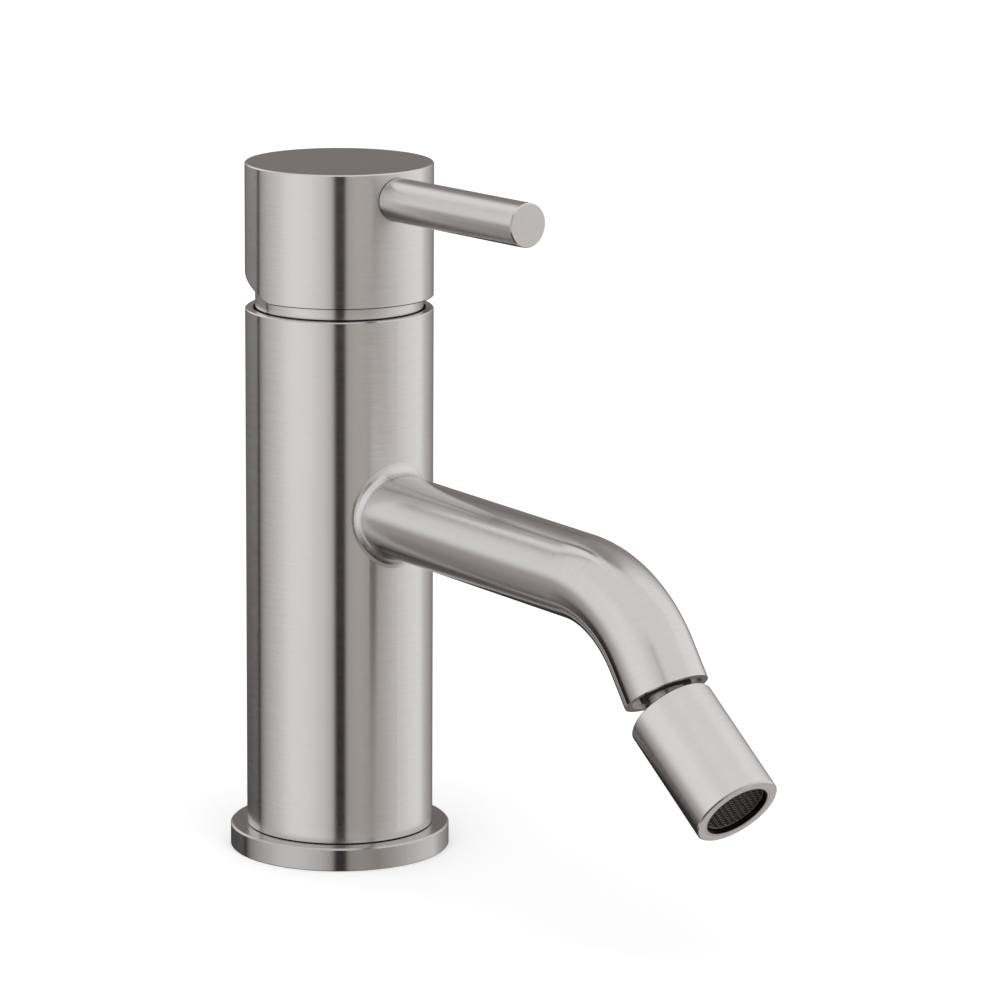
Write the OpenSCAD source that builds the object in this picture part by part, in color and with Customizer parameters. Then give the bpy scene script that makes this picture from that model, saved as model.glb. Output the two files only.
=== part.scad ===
// Single-lever bidet mixer with a bent spout and a ball-jointed nozzle.
// The deck is the plane z = 0, the column stands on +Z, the spout and the lever point to -Y.
// Most modules are drawn with the spout along +X, and front() turns them to -Y.

/* [Base] */
// Diameter of the base flange
flange_d = 53; // [50:0.5:60]
// Thickness of the base flange
flange_h = 5.6; // [4.6:0.1:8]
// Chamfer on the flange's top edge
flange_chamfer = 0.4; // [0.1:0.1:1]
// Opening in the flange for the hoses and the stud
flange_opening_d = 28.4; // [28:0.2:29]
// Width of the seal under the flange
seal_w = 2.6; // [1.5:0.1:3]
// Thickness of the seal under the flange
seal_h = 2; // [1:0.1:2.4]
// Distance from the flange's rim to the seal
seal_margin = 1.9; // [1:0.1:2.2]
// Height of the plug that the stud screws into
plug_h = 12; // [9:0.5:16]
// Hole that is tapped for the fixing stud
stud_hole_d = 6.8; // [5:0.1:8]
// Distance from the axis to the fixing stud
stud_offset = 9.5; // [9:0.1:10]
// Hole in the plug for each hose
hose_hole_d = 11.6; // [10.4:0.1:12]
// Distance from the plug's rim to the screws that hold the flange
screw_margin = 2; // [1.9:0.1:2.4]
// Shank diameter of the flange screws
screw_d = 3; // [2.5:0.1:3.2]
// Length of the flange screws under the head
screw_l = 9; // [7:0.5:11]

/* [Column] */
// Outside diameter of the column
column_d = 45; // [45:0.5:50]
// Wall of the column around the manifold
column_wall = 1.8; // [1.4:0.1:1.8]
// Wall of the column below the manifold
foot_wall = 2.6; // [2.4:0.1:2.6]
// Height of the column's upper rim above the deck
rim_z = 132.3; // [128:0.1:150]
// Chamfer on the column's edges
column_chamfer = 0.25; // [0.1:0.05:0.6]

/* [Manifold] */
// Length of the solid part of the manifold under the cartridge
manifold_l = 51; // [48:0.5:60]
// Hole that is tapped for each hose tail
inlet_d = 9; // [8.4:0.1:9.4]
// Depth of the hose tail threads
inlet_l = 12; // [9:0.5:14]
// Distance from the middle plane to each inlet
inlet_side = 8.8; // [8.6:0.1:9]
// Distance of the inlets behind the axis
inlet_back = 4; // [3.5:0.1:4.5]
// Bore of the waterways up to the cartridge
way_d = 4.8; // [4:0.1:5]
// Bore of the outlet chamber's cross hole
outlet_d = 10; // [8:0.2:10.4]
// Height of the annular outlet chamber
chamber_h = 18; // [14:0.5:19]
// Depth of the annular outlet chamber
chamber_depth = 3; // [2:0.1:4]
// Thickness of the two manifold seals
ring_d = 2; // [1.6:0.1:2.4]

/* [Cartridge] */
// Distance from the column's outside to the ceramic cartridge
cartridge_space = 5; // [4.9:0.1:5.5]
// Height of the lever's pivot above the column's rim
pivot_rise = 1.7; // [1.4:0.1:2.2]
// Distance from the pivot down to the tip that moves the disc
arm = 12; // [11.8:0.1:12.4]
// Thickness of the cartridge's base
cart_base_h = 3.5; // [3:0.1:5]
// Thickness of each ceramic disc
disc_h = 3.5; // [3:0.1:4]
// Distance from the cartridge's outside to the fixed ceramic disc
disc_space = 2.2; // [2.1:0.1:3]
// Distance from the cartridge's outside to the moving disc and the stem's carrier
carrier_space = 5.3; // [5.1:0.1:6]
// Width of the stem
stem_w = 8; // [6:0.1:8.4]
// Diameter of the pivot pin
pin_d = 3; // [2:0.1:3.4]
// Excess of the clamp nut's radius over the cartridge's
nut_step = 0.5; // [0.4:0.1:0.6]
// Height of the clamp nut
nut_h = 6; // [4.5:0.1:6.4]

/* [Neck ring] */
// Distance from the column's outside to the ring under the lever cap
neck_step = 2.4; // [2.3:0.1:2.5]
// Height of the ring's domed top above the column's rim
neck_rise = 12.2; // [10:0.1:12.4]
// Wall of the ring
neck_wall = 0.7; // [0.6:0.1:0.8]

/* [Lever] */
// Gap between the column's rim and the lever cap
cap_gap = 3.1; // [2.5:0.1:5]
// Height of the lever cap
cap_h = 31.8; // [29:0.1:40]
// Wall of the lever cap's skirt
cap_wall = 1.5; // [1.2:0.1:1.5]
// Thickness of the lever cap's top
cap_top = 3.5; // [2.5:0.1:5]
// Slope of the cut that lets the back of the cap swing down, in degrees
cap_slope = 19.5; // [18.5:0.5:22]
// Distance in front of the axis where that cut starts
slope_ahead = 2.4; // [1:0.1:4]
// Chamfer on the cap's top edge
cap_chamfer = 0.3; // [0.1:0.05:1]
// Diameter of the lever pin
lever_d = 10.4; // [8:0.1:12]
// Distance from the cap's top down to the lever's axis
lever_drop = 6.4; // [6.2:0.1:8]
// Distance from the column's axis to the lever's end
lever_reach = 70.5; // [50:0.5:110]
// Diameter of the lever's threaded end
lever_stud_d = 8; // [6:0.1:8.4]
// Diameter of the set screw behind the lever
set_screw_d = 5; // [4:0.1:5.6]
// Lift of the lever from closed to fully open, in degrees
lift_max = 18; // [10:1:18]

/* [Spout] */
// Outside diameter of the spout tube
spout_d = 20; // [18:0.2:22]
// Wall of the spout tube
spout_wall = 1.5; // [1:0.1:1.6]
// Height where the spout's axis crosses the column's axis
spout_z = 86.1; // [84:0.1:90]
// Fall of the spout's long run, in degrees
spout_fall = 2.2; // [0:0.1:4]
// Distance from the column's axis to the start of the bend
spout_length = 90; // [70:0.5:130]
// Radius of the bend on the tube's axis
bend_r = 31.8; // [26:0.1:45]
// Dip of the spout's end below level, in degrees
spout_dip = 55.5; // [40:0.5:65]
// Straight length after the bend
spout_end = 9.3; // [9:0.1:20]
// Radius of the weld between the spout and the column
weld_r = 2.7; // [1:0.1:3]

/* [Nozzle] */
// Diameter of the swivel ball
ball_d = 14; // [13:0.1:14.2]
// Distance from the spout's end to the ball's centre
ball_drop = 7.2; // [7.2:0.1:9]
// Diameter of the ball's neck
neck_stem_d = 9.2; // [8:0.1:9.4]
// Bore through the ball
ball_bore_d = 5.2; // [4:0.1:5.6]
// Outside diameter of the nozzle
nozzle_d = 20.6; // [20.4:0.1:22]
// Length of the nozzle
nozzle_l = 29; // [28:0.1:40]
// Distance from the nozzle's upper rim to the ball's centre
nozzle_lead = 3.1; // [2.8:0.1:3.3]
// Wall of the nozzle round the ball
nozzle_wall = 1; // [0.8:0.1:1.1]
// Tilt of the nozzle out of the spout's end line, in degrees
nozzle_out = 16.9; // [0:0.1:20]
// Diameter of the aerator's thread
aerator_d = 16.5; // [16:0.1:16.8]
// Length of the aerator
aerator_l = 9.4; // [8:0.1:11]
// Depth of the outlet screen inside the nozzle's end
screen_recess = 1.1; // [0.4:0.1:2]
// Distance between the screen's cells
cell_pitch = 1.7; // [1.5:0.1:2.4]
// Web between the screen's cells
cell_web = 0.4; // [0.3:0.05:0.6]

/* [Hidden] */
$fn = 96;

// Clearances: side_gap between pieces that are fitted by hand, run_gap between pieces that slide,
// thread_gap in a thread
side_gap = 0.1;
run_gap = 0.08;
thread_gap = 0.05;

// Reach of a cut past the face that it opens
cut = 1;
// Chamfers on the inner pieces
edge = 0.3;

// Base
seal_r = flange_d / 2 - seal_margin;
screw_head_d = 5.2;
screw_head_h = 2;
head_depth = 0.8;
screw_hex_d = 2.8;
screw_hex_h = 1.2;
tap_room = 1.6;
plug_top = flange_h + plug_h;

// Column and manifold
column_r = column_d / 2;
bore_r = column_r - column_wall;
foot_r = column_r - foot_wall;
screw_circle_r = foot_r - side_gap - screw_margin;
manifold_r = bore_r - 2 * side_gap;
pivot_z = rim_z + pivot_rise;
tip_r = 2;
neck_tip_r = 1.5;
driver_h = 3.5;
driver_floor = 0.3;
disc_top_z = pivot_z - arm - tip_r - side_gap - driver_floor;
disc_plane_z = disc_top_z - disc_h;
seat_z = disc_plane_z - disc_h - cart_base_h;
foot_z = seat_z - manifold_l;
cartridge_r = column_r - cartridge_space;
pocket_r = cartridge_r + side_gap;
nut_r = cartridge_r + nut_step;
chamber_r = manifold_r - chamber_depth;
chamber_z = spout_z - bore_r * tan(spout_fall);
seal_space = 4;
groove_w = 1.3 * ring_d;
groove_depth = ring_d - side_gap / 2;
way_turn_depth = 13;
way_turn_z = seat_z - way_turn_depth;
port_depth = 5;
port_turn_z = seat_z - 3;
cross_way_d = way_d - 0.4;
nut_relief = 0.4;
ring_space = spout_d / 2 + seal_space - ring_d / 2;
ring_z = [chamber_z - ring_space, chamber_z + ring_space];

// Cartridge
carrier_flange_h = 2.7;
carrier_z = disc_top_z + driver_h + 1.3;
cavity_top = carrier_z + carrier_flange_h + side_gap;
shoulder_z = cavity_top + 1.3;
housing_r = cartridge_r - side_gap / 2;
housing_top_r = nut_r - 4;
housing_top = pivot_z + 3;
nut_slot_w = 3;
nut_slot_h = 2;
carrier_top = housing_top + 1.6;
carrier_lip = 2.2;
eye_r = 4.6;
fixed_disc_r = cartridge_r - disc_space;
moving_disc_r = cartridge_r - carrier_space;
carrier_r = cartridge_r - carrier_space;
pin_inset = 0.8;
pin_l = 2 * (carrier_r - pin_inset);
cavity_r = fixed_disc_r + side_gap;
disc_travel = arm * sin(lift_max);
disc_back = disc_travel / 2;
slot_w = stem_w + 4 * side_gap;
slot_l = 17;
inlet_port = [5.2, 5.6];
outlet_port = 6.5;
port_r = 2.5;
outlet_port_r = 3.2;
port_wall = 1.2;
mixing_r = 4.8;

// Neck ring
neck_r = column_r - neck_step;
neck_top = rim_z + neck_rise;
collar_r = neck_r - neck_wall - side_gap / 2;
collar_z = rim_z - 6.8;
collar_top = rim_z + 0.2;
neck_ring_d = 1;
dome_over = 0.25;
neck_groove_z = collar_z + 0.8;

// Lever
cap_z = rim_z + cap_gap;
cap_top_z = cap_z + cap_h;
lever_z = cap_top_z - lever_drop;
cap_cavity_top = cap_top_z - cap_top;
boss_wall = 3.3;
boss_r = stem_w / sqrt(2) + boss_wall;
boss_rise = 12;
boss_z = pivot_z + boss_rise;
lever_boss_r = lever_stud_d / 2 + boss_wall;
stud_start = boss_r + 2 * side_gap;
stud_from = stud_start + 4 * side_gap;
stud_reach = 3;
socket_top = lever_z + set_screw_d / 2 - 2 * side_gap;
stem_top = socket_top - 3 * side_gap;
set_screw_from = stem_w / 2 + side_gap;
set_screw_l = stud_start - set_screw_from;
set_hex_h = 2;

// Spout path: bend_from and bend_to are where the bend starts and ends, end_at is the spout's end
bend_from = [spout_length, spout_z - spout_length * tan(spout_fall)];
bend_c = bend_from - bend_r * [sin(spout_fall), cos(spout_fall)];
bend_to = bend_c + bend_r * [sin(spout_dip), cos(spout_dip)];
end_dir = [cos(spout_dip), -sin(spout_dip)];
end_at = bend_to + spout_end * end_dir;
run_l = spout_length / cos(spout_fall);
bend_turn = spout_dip - spout_fall;
end_reach = 0.5;
end_step = 0.02;
ball_c = end_at + ball_drop * end_dir;

// Spout end and nozzle
bush_recess = 1;
bush_l = 7;
stem_washer_w = 1.5;
stem_washer_h = 0.9;
ball_mouth = 1.6;
ball_r = ball_d / 2;
liner_in = ball_r + side_gap;
liner_h = 1;
liner_out = liner_in + liner_h;
seat_r = liner_out + side_gap;
nozzle_r = nozzle_d / 2;
nozzle_in = nozzle_r - nozzle_wall;
nozzle_dip = spout_dip - nozzle_out;
seat_end = 9;
seal_angle = 50;
seal_minor = 0.85;
nozzle_end = nozzle_l - nozzle_lead;
aerator_end = nozzle_end - screen_recess;
aerator_from = aerator_end - aerator_l;
washer_h = 0.8;
waist_from = seat_end + side_gap;
waist_to = aerator_from - washer_h;
waist_r = aerator_d / 2 - 2.2;
screen_h = 0.8;
screen_r = aerator_d / 2 - 0.7;
screen_space = 1.2;
core_l = aerator_l - screen_h - screen_space;
core_plate = 2;
core_wall = 1;
mouth_r = aerator_d / 2 + thread_gap;
retainer_inset = 0.15;
seat_bore_r = 4.6;

// Turns the spout's side from +X to -Y
module front() {
    rotate([0, 0, -90]) children();
}

// Places a piece drawn along +Z so that it points out of the spout's end, with the origin at distance d
module at_spout_end(d) {
    front() translate([end_at[0] + d * end_dir[0], 0, end_at[1] + d * end_dir[1]])
        rotate([0, 90 + spout_dip, 0]) children();
}

// Places a piece drawn along +Z, with the ball's centre at the origin, on the nozzle's axis
module at_nozzle() {
    front() translate([ball_c[0], 0, ball_c[1]]) rotate([0, 90 + nozzle_dip, 0]) children();
}

// Round bar from point p to point q
module drill(p, q, d) {
    v = q - p;
    l = norm(v);
    translate(p) rotate([0, acos(v[2] / l), atan2(v[1], v[0])]) cylinder(h = l, d = d);
}

// Ring of rectangular section that stands on z
module ring(outer, inner, z, h) {
    translate([0, 0, z]) difference() {
        cylinder(h = h, r = outer);
        translate([0, 0, -cut]) cylinder(h = h + 2 * cut, r = inner);
    }
}

// Round seal of round section
module o_ring(centre_r, section_d, z) {
    translate([0, 0, z]) rotate_extrude() translate([centre_r, 0]) circle(d = section_d, $fn = 32);
}

// Cylinder with a chamfer on its lower edge (c0) and its upper edge (c1)
module turned(r, z0, z1, c0, c1) {
    rotate_extrude() polygon([
        [0, z0], [r - c0, z0], [r, z0 + c0], [r, z1 - c1], [r - c1, z1], [0, z1]
    ]);
}

// Both mirrored places on the left and the right of the middle plane
module both_sides() {
    children();
    mirror([0, 1, 0]) children();
}

// Three places on a circle, one of them at the back
module three_round(r) {
    for (i = [0:2]) rotate([0, 0, 60 + 120 * i]) translate([r, 0, 0]) children();
}

// Bent bar along the spout's path, from distance d0 along the run to d1 past the end.
// It is drawn from the start of the bend: the run goes back from there. The straight end reaches
// a little into the bend and is sized a hair smaller, so that both are one piece.
module spout_bar(r, d0, d1) {
    translate([bend_from[0], 0, bend_from[1]]) rotate([0, spout_fall, 0]) {
        rotate([0, -90, 0]) cylinder(h = run_l - d0, r = r);
        translate([0, 0, -bend_r]) rotate([-90, 0, 0]) rotate([0, 0, -90])
            rotate_extrude(angle = bend_turn) translate([bend_r, 0]) circle(r = r);
        after_bend() translate([0, 0, -end_reach]) cylinder(h = end_reach + spout_end + d1, r = r - end_step);
    }
}

// The end of the bend, with +Z along the spout's end, seen from the start of the bend
module after_bend() {
    translate([0, 0, -bend_r]) rotate([0, bend_turn, 0]) translate([0, 0, bend_r]) rotate([0, 90, 0])
        children();
}

// Base
module base_flange() {
    color([0.74, 0.73, 0.71]) front() difference() {
        turned(flange_d / 2, 0, flange_h, flange_chamfer / 2, flange_chamfer);
        translate([0, 0, -cut]) cylinder(h = flange_h + 2 * cut, d = flange_opening_d);
        ring(seal_r + side_gap / 2, seal_r - seal_w - side_gap / 2, -cut, seal_h + cut);
        three_round(screw_circle_r) {
            translate([0, 0, -cut]) cylinder(h = flange_h + 2 * cut, d = screw_d + 4 * side_gap);
            translate([0, 0, -cut])
                cylinder(h = head_depth + screw_head_h + cut, d = screw_head_d + 3 * side_gap);
        }
        both_sides() translate([-inlet_back, inlet_side, -cut])
            cylinder(h = flange_h + 2 * cut, d = hose_hole_d);
    }
}

module base_seal() {
    color([0.12, 0.12, 0.12]) ring(seal_r, seal_r - seal_w, 0, seal_h);
}

module flange_screws() {
    color([0.6, 0.6, 0.6]) front() three_round(screw_circle_r) difference() {
        union() {
            translate([0, 0, head_depth]) cylinder(h = screw_head_h, d = screw_head_d);
            translate([0, 0, head_depth]) cylinder(h = screw_head_h + screw_l, d = screw_d);
        }
        translate([0, 0, head_depth - cut]) cylinder(h = screw_hex_h + cut, d = screw_hex_d, $fn = 6);
    }
}

module base_plug() {
    color([0.72, 0.58, 0.3]) front() difference() {
        turned(foot_r - side_gap, flange_h, plug_top, edge, edge);
        three_round(screw_circle_r) translate([0, 0, flange_h - cut])
            cylinder(h = screw_l + tap_room + cut, d = screw_d + 2 * thread_gap);
        both_sides() translate([-inlet_back, inlet_side, flange_h - cut])
            cylinder(h = plug_h + 2 * cut, d = hose_hole_d);
        translate([stud_offset, 0, flange_h - cut]) cylinder(h = plug_h + 2 * cut, d = stud_hole_d);
    }
}

module column_shell() {
    color([0.76, 0.75, 0.73]) front() difference() {
        turned(column_r, flange_h, rim_z, column_chamfer, column_chamfer);
        translate([0, 0, flange_h - cut]) cylinder(h = rim_z, r = foot_r);
        translate([0, 0, foot_z]) cylinder(h = rim_z, r = bore_r);
        translate([0, 0, spout_z]) rotate([0, 90 + spout_fall, 0])
            cylinder(h = column_d, r = spout_d / 2 + thread_gap);
    }
}

// The manifold stands on the column's inner shoulder and holds the cartridge in its pocket
module manifold_core() {
    color([0.78, 0.63, 0.33]) front() difference() {
        rotate_extrude() polygon(concat(
            [[0, foot_z], [manifold_r - edge, foot_z], [manifold_r, foot_z + edge]],
            seal_groove(ring_z[0]),
            [
                [manifold_r, chamber_z - chamber_h / 2], [chamber_r, chamber_z - chamber_h / 2],
                [chamber_r, chamber_z + chamber_h / 2], [manifold_r, chamber_z + chamber_h / 2]
            ],
            seal_groove(ring_z[1]),
            [
                [manifold_r, collar_z - side_gap], [collar_r, collar_z - side_gap], [collar_r, collar_top],
                [nut_r + thread_gap, collar_top], [nut_r + thread_gap, shoulder_z - nut_relief],
                [pocket_r, shoulder_z - nut_relief], [pocket_r, seat_z], [0, seat_z]
            ]
        ));
        both_sides() {
            translate([-inlet_back, inlet_side, foot_z - cut]) cylinder(h = inlet_l + cut, d = inlet_d);
            translate([-inlet_back, inlet_side, foot_z])
                cylinder(h = way_turn_z + way_d / 2 - foot_z, d = way_d);
            drill([-inlet_back, inlet_side, way_turn_z], concat(inlet_port, port_turn_z), cross_way_d);
            translate(concat(inlet_port, seat_z - port_depth)) cylinder(h = port_depth + cut, r = port_r);
        }
        translate([-outlet_port, 0, chamber_z]) cylinder(h = seat_z - chamber_z + cut, r = outlet_port_r);
        translate([-outlet_port - outlet_port_r - cut, 0, chamber_z]) rotate([0, 90, 0])
            cylinder(h = chamber_r + outlet_port + outlet_port_r + 2 * cut, d = outlet_d);
        translate([0, 0, neck_groove_z]) groove_cut();
    }
}

// Points of one seal groove round the manifold, from below to above
function seal_groove(z) = [
    [manifold_r, z - groove_w / 2], [manifold_r - groove_depth, z - groove_w / 2],
    [manifold_r - groove_depth, z + groove_w / 2], [manifold_r, z + groove_w / 2]
];

// Groove for the seal that holds the neck ring
module groove_cut() {
    difference() {
        cylinder(h = neck_ring_d + 2 * side_gap, r = collar_r + cut);
        translate([0, 0, -cut])
            cylinder(h = neck_ring_d + 2 * side_gap + 2 * cut, r = collar_r - neck_ring_d);
    }
}

module manifold_seals() {
    color([0.1, 0.1, 0.1]) for (z = ring_z) o_ring(bore_r - ring_d / 2 - side_gap / 2, ring_d, z);
}

// Trim ring whose top is domed round the lever's pivot, so that the cap swings over it
module neck_ring() {
    color([0.74, 0.73, 0.71]) difference() {
        domed(neck_r, collar_z, neck_top);
        domed(neck_r - neck_wall, collar_z - cut, neck_top + cut);
    }
}

// Cylinder that turns into a ball round the pivot at its top
module domed(r, z0, z1) {
    intersection() {
        translate([0, 0, z0]) cylinder(h = z1 - z0, r = r);
        union() {
            translate([0, 0, z0 - cut]) cylinder(h = pivot_z - z0 + cut, r = r + cut);
            translate([0, 0, pivot_z]) sphere(r = r + dome_over);
        }
    }
}

module neck_seal() {
    color([0.1, 0.1, 0.1]) o_ring(
        neck_r - neck_wall - side_gap / 4 - neck_ring_d / 2, neck_ring_d * 0.96,
        neck_groove_z + neck_ring_d / 2 + side_gap
    );
}

module clamp_nut() {
    color([0.75, 0.6, 0.32]) difference() {
        turned(nut_r, shoulder_z, shoulder_z + nut_h, edge, edge);
        translate([0, 0, shoulder_z - cut]) cylinder(h = nut_h + 2 * cut, r = housing_top_r + side_gap);
        for (i = [0:5]) rotate([0, 0, 60 * i])
            translate([housing_top_r - cut, -nut_slot_w / 2, shoulder_z + nut_h - nut_slot_h])
                cube([nut_r, nut_slot_w, nut_slot_h + cut]);
    }
}

// Cartridge
module port_places() {
    both_sides() translate([inlet_port[0], inlet_port[1], 0]) children();
}

module cartridge_base() {
    color([0.9, 0.9, 0.88]) front() difference() {
        turned(housing_r, seat_z, seat_z + cart_base_h, edge, 0);
        port_places() translate([0, 0, seat_z - cut])
            cylinder(h = cart_base_h + 2 * cut, r = port_r + port_wall + side_gap / 2);
        translate([-outlet_port, 0, seat_z - cut])
            cylinder(h = cart_base_h + 2 * cut, r = outlet_port_r + port_wall + side_gap / 2);
    }
}

module port_seals() {
    color([0.1, 0.1, 0.1]) front() {
        port_places() ring(port_r + port_wall, port_r, seat_z, cart_base_h);
        translate([-outlet_port, 0, 0]) ring(outlet_port_r + port_wall, outlet_port_r, seat_z, cart_base_h);
    }
}

module fixed_disc() {
    color([0.95, 0.93, 0.88]) front() difference() {
        turned(fixed_disc_r, disc_plane_z - disc_h, disc_plane_z, edge, edge);
        translate([0, 0, disc_plane_z - disc_h - cut]) {
            port_places() cylinder(h = disc_h + 2 * cut, r = port_r);
            translate([-outlet_port, 0, 0]) cylinder(h = disc_h + 2 * cut, r = outlet_port_r);
        }
    }
}

module moving_disc() {
    color([0.95, 0.93, 0.88]) front() translate([-disc_back, 0, 0]) difference() {
        turned(moving_disc_r, disc_plane_z, disc_top_z, edge, edge);
        translate([0, 0, disc_plane_z - cut]) cylinder(h = disc_h / 2 + cut, r = mixing_r);
    }
}

// The driver sits on the moving disc, and its two ribs slide in the carrier's grooves
rib_in = 8;
rib_w = 1.8;
rib_l = 9;
rib_top = carrier_z + carrier_flange_h - 1.2;
rib_play = 0.3;
module disc_driver() {
    color([0.85, 0.85, 0.83]) front() difference() {
        union() {
            translate([-disc_back, 0, 0])
                turned(moving_disc_r - edge, disc_top_z, disc_top_z + driver_h, 0, edge);
            both_sides() translate([-disc_back - rib_l / 2, rib_in, disc_top_z + driver_floor])
                cube([rib_l, rib_w, rib_top - disc_top_z - driver_floor]);
        }
        translate([0, 0, disc_top_z + driver_floor]) cylinder(h = driver_h, r = tip_r + side_gap);
    }
}

module cartridge_housing() {
    color([0.9, 0.9, 0.88]) rotate_extrude() polygon([
        [cavity_r, seat_z + cart_base_h], [housing_r, seat_z + cart_base_h], [housing_r, shoulder_z],
        [housing_top_r, shoulder_z], [housing_top_r, housing_top], [carrier_r + run_gap, housing_top],
        [carrier_r + run_gap, cavity_top], [cavity_r, cavity_top]
    ]);
}

// Stem carrier: a flanged rotor with a slot for the stem, a cross hole for the pin and grooves below
module stem_carrier() {
    color([0.35, 0.36, 0.38]) front() difference() {
        union() {
            turned(carrier_r + carrier_lip, carrier_z, carrier_z + carrier_flange_h, edge, edge);
            turned(carrier_r, carrier_z, carrier_top, 0, edge);
        }
        translate([-slot_l / 2, -slot_w / 2, carrier_z - cut])
            cube([slot_l, slot_w, carrier_top - carrier_z + 2 * cut]);
        both_sides() translate([-2 * carrier_r, rib_in - side_gap, carrier_z - cut])
            cube([4 * carrier_r, rib_w + 2 * side_gap, rib_top + rib_play - carrier_z + cut]);
        translate([0, 0, pivot_z]) rotate([90, 0, 0])
            cylinder(h = 4 * carrier_r, d = pin_d + 2 * thread_gap, center = true);
    }
}

module pivot_pin() {
    color([0.7, 0.7, 0.72]) front() translate([0, 0, pivot_z]) rotate([90, 0, 0])
        cylinder(h = pin_l, d = pin_d, center = true);
}

// Stem: ball tip in the driver, eye on the pivot pin, square shank in the cap's socket
module lever_stem() {
    color([0.72, 0.58, 0.3]) front() difference() {
        union() {
            translate([0, 0, pivot_z - arm]) sphere(r = tip_r);
            translate([0, 0, pivot_z - arm]) cylinder(h = arm, r = neck_tip_r);
            intersection() {
                translate([0, 0, pivot_z]) rotate([90, 0, 0]) cylinder(h = stem_w, r = eye_r, center = true);
                translate([-stem_w, -stem_w / 2, pivot_z - stem_w]) cube([2 * stem_w, stem_w, 2 * stem_w]);
            }
            translate([-stem_w / 2, -stem_w / 2, pivot_z]) cube([stem_w, stem_w, stem_top - pivot_z]);
        }
        translate([0, 0, pivot_z]) rotate([90, 0, 0])
            cylinder(h = stem_w * 2, d = pin_d + 2 * run_gap, center = true);
    }
}

// Lever cap: turned outside, with a hollow skirt, a boss on the stem and a boss for the lever
module handle_cap() {
    color([0.75, 0.74, 0.72]) front() difference() {
        turned(column_r, cap_z, cap_top_z, 0, cap_chamfer);
        difference() {
            translate([0, 0, cap_z - cut])
                cylinder(h = cap_cavity_top - cap_z + cut, r = column_r - cap_wall);
            translate([0, 0, boss_z]) cylinder(h = cap_top_z, r = boss_r);
            translate([0, 0, lever_z]) rotate([0, 90, 0]) cylinder(h = column_d, r = lever_boss_r);
        }
        translate([-stem_w / 2 - side_gap, -stem_w / 2 - side_gap, boss_z - cut])
            cube([stem_w + 2 * side_gap, stem_w + 2 * side_gap, socket_top - boss_z + cut]);
        translate([0, 0, lever_z]) rotate([0, 90, 0])
            cylinder(h = column_d, d = set_screw_d + 2 * thread_gap);
        translate([stud_start, 0, lever_z]) rotate([0, 90, 0])
            cylinder(h = column_d, d = lever_stud_d + 2 * thread_gap);
        back_cut();
    }
}

// Slanted cut under the cap's back, which swings down when the lever is lifted
module back_cut() {
    translate([slope_ahead, 0, cap_z]) rotate([0, cap_slope, 0])
        translate([-2 * column_d, -column_d, -column_d])
            cube([3 * column_d, 2 * column_d, column_d]);
}

module lever_pin() {
    color([0.77, 0.76, 0.74]) front() {
        difference() {
            translate([0, 0, lever_z]) rotate([0, 90, 0]) turned(lever_d / 2, 0, lever_reach, 0, cap_chamfer);
            cylinder(h = 2 * cap_top_z, r = column_r + thread_gap);
        }
        translate([stud_from, 0, lever_z]) rotate([0, 90, 0])
            cylinder(h = column_r + stud_reach - stud_from, d = lever_stud_d);
    }
}

module set_screw() {
    color([0.3, 0.3, 0.32]) front() translate([set_screw_from, 0, lever_z]) rotate([0, 90, 0]) difference() {
        cylinder(h = set_screw_l, d = set_screw_d);
        translate([0, 0, set_screw_l - set_hex_h])
            cylinder(h = set_hex_h + cut, d = set_screw_d / 2, $fn = 6);
    }
}

// Spout
module spout_tube() {
    color([0.75, 0.74, 0.72]) front() difference() {
        spout_bar(spout_d / 2, 0, 0);
        spout_bar(spout_d / 2 - spout_wall, -cut, cut);
        translate([0, 0, foot_z]) cylinder(h = rim_z - foot_z, r = bore_r + side_gap);
    }
}

// Dressed weld round the spout's root: a ball of radius weld_r rolled between the tube and the column
weld_steps = 80;
weld_arc = 5;
weld_gap = 0.02;
function weld_centre(t) =
    let (r = spout_d / 2 + weld_r + weld_gap,
         big = column_r + weld_r + weld_gap,
         y = r * sin(t),
         x = sqrt(big * big - y * y),
         a = (x - r * cos(t) * sin(spout_fall)) / cos(spout_fall))
    [x, y, spout_z - a * sin(spout_fall) + r * cos(t) * cos(spout_fall)];
function weld_normal(t) = [cos(t) * sin(spout_fall), sin(t), cos(t) * cos(spout_fall)];
function weld_on_tube(t) = weld_centre(t) - weld_r * weld_normal(t);
function weld_on_column(t) =
    let (c = weld_centre(t), k = (column_r + weld_gap) / (column_r + weld_r + weld_gap))
    [c[0] * k, c[1] * k, c[2]];
function weld_root(t) =
    let (r = spout_d / 2 + weld_gap,
         big = column_r + weld_gap,
         y = r * sin(t),
         x = sqrt(big * big - y * y),
         a = (x - r * cos(t) * sin(spout_fall)) / cos(spout_fall))
    [x, y, spout_z - a * sin(spout_fall) + r * cos(t) * cos(spout_fall)];
function weld_point(t, i) =
    let (c = weld_centre(t),
         u = (weld_on_tube(t) - c) / weld_r,
         v = (weld_on_column(t) - c) / weld_r,
         turn = acos(u * v),
         k = i / weld_arc)
    c + weld_r * (sin((1 - k) * turn) * u + sin(k * turn) * v) / sin(turn);
weld_ring = weld_arc + 2;
function weld_section(t) = concat([for (i = [0:weld_arc]) weld_point(t, i)], [weld_root(t)]);

module spout_weld() {
    points = [for (s = [0:weld_steps - 1]) each weld_section(360 * s / weld_steps)];
    faces = [
        for (s = [0:weld_steps - 1], i = [0:weld_ring - 1])
            let (a = s * weld_ring,
                 b = ((s + 1) % weld_steps) * weld_ring,
                 j = (i + 1) % weld_ring)
            each [[a + i, b + j, b + i], [a + i, a + j, b + j]]
    ];
    color([0.8, 0.79, 0.77]) front() polyhedron(points = points, faces = faces);
}

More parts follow.
